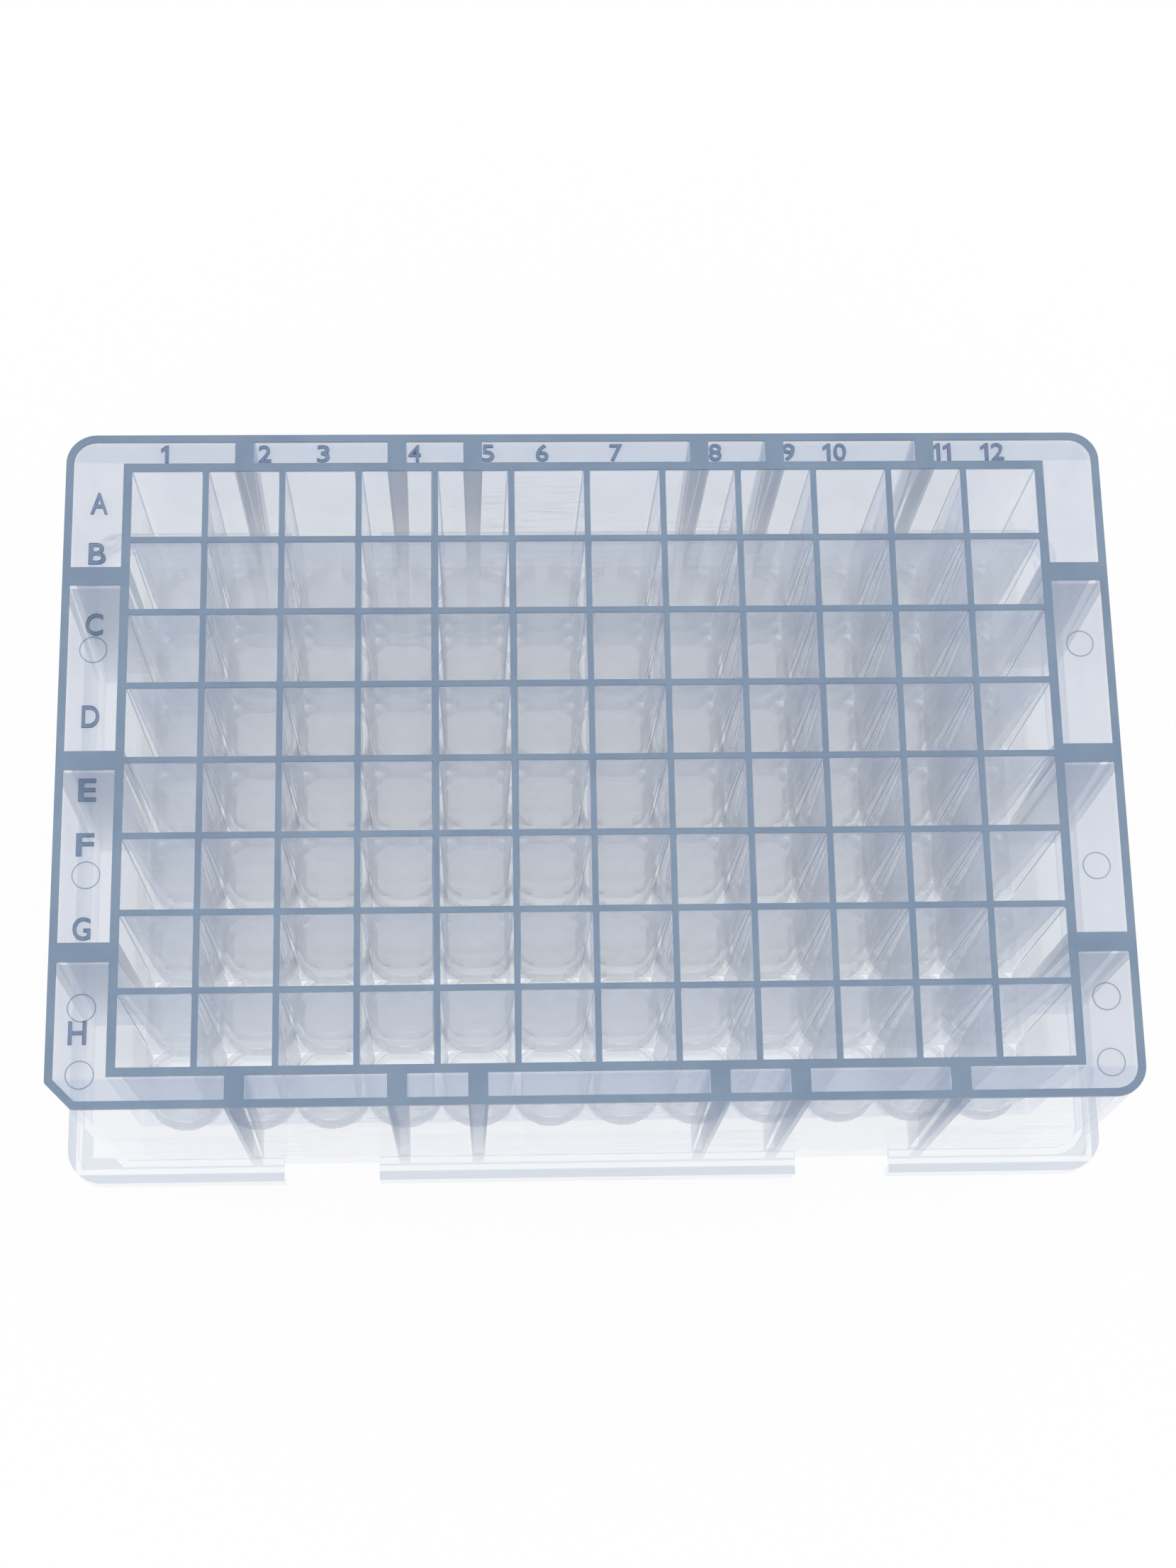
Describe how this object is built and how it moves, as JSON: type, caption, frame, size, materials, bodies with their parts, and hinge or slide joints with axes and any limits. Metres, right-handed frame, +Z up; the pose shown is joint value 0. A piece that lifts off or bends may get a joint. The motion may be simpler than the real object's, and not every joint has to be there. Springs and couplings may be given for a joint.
{
  "type": "well plate",
  "caption": "Moulded deep-well laboratory plate: a grid of square wells ending in round cups, a recessed deck, ribs and a stepped skirt, with one chamfered key corner.",
  "frame": {"origin": "middle of the plate's outline, at the plane that its skirt stands on", "axes": "+X along the rows of wells, from column 1 to column 12; +Y across them, from row H to row A; +Z up, out of the wells"},
  "size_m": [0.1278, 0.0854, 0.0405],
  "materials": {
    "polypropylene": "satin"
  },
  "bodies": {
    "root": {"well_plate": "polypropylene"}
  },
  "joints": []
}
